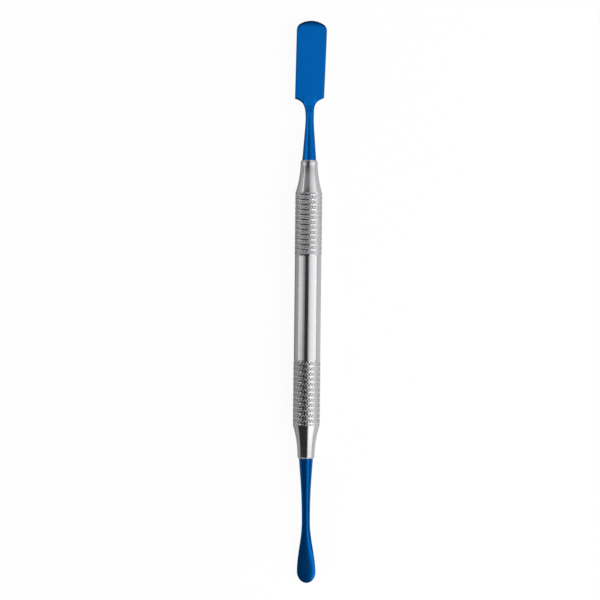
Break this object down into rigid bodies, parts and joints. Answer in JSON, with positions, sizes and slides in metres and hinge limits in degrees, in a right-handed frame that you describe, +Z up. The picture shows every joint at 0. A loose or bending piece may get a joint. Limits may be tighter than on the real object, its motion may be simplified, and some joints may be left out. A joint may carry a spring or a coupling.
{
  "type": "periosteal elevator",
  "caption": "Double-ended surgical periosteal elevator with a knurled round steel handle, a wide flat blue blade at one end and a narrow curved blue paddle at the other.",
  "frame": {"origin": "under the handle's axis, half way along the instrument, on the surface that it lies on", "axes": "+Y along the handle to the wide blade, +X across the handle, +Z up, away from the surface that it lies on"},
  "size_m": [0.0095, 0.1704, 0.0082],
  "materials": {
    "stainless_steel": "polished",
    "blue_coated_steel": "gloss"
  },
  "bodies": {
    "root": {"handle": "stainless_steel", "wide_blade": "blue_coated_steel", "paddle_blade": "blue_coated_steel"}
  },
  "joints": []
}
